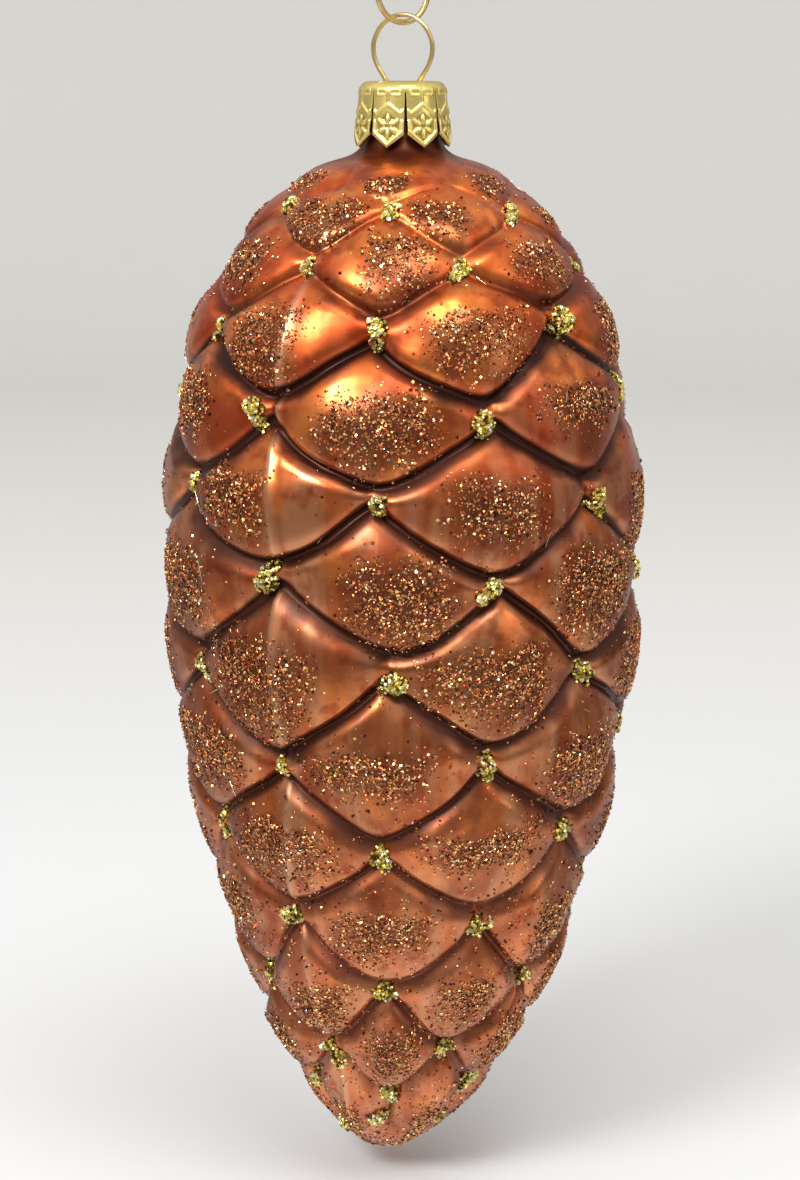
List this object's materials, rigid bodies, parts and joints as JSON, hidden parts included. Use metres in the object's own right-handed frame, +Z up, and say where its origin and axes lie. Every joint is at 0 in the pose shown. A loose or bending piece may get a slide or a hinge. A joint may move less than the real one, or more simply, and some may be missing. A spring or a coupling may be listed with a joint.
{
  "type": "hanging glass cone ornament",
  "caption": "Hollow blown glass fir-cone ornament with overlapping scales, a stamped pronged cap and a wire loop that swings in a round hanger ring.",
  "frame": {"origin": "the highest point inside the hanger ring, where a hook or thread holds the ornament", "axes": "+Z up along the hanging ornament's length, -Y towards the front"},
  "size_m": [0.063, 0.0634, 0.1596],
  "materials": {
    "copper_lacquered_glass": "silvered inside, satin translucent copper lacquer outside, glitter on every scale",
    "stamped_gold_cap": "bright gold coated stamped sheet",
    "brass_wire": "polished spring wire",
    "brass_ring": "polished wire"
  },
  "bodies": {
    "hanger": {"hanger_ring": "brass_ring"},
    "ornament": {"glass_cone": "copper_lacquered_glass", "cap": "stamped_gold_cap", "hanging_loop": "brass_wire"}
  },
  "joints": [
    {"name": "swing", "type": "hinge", "parent": "hanger", "child": "ornament", "pos_m": [0, 0, -0.00747], "axis": [0.8192, 0.5736, 0], "range_deg": [-30, 30]}
  ]
}
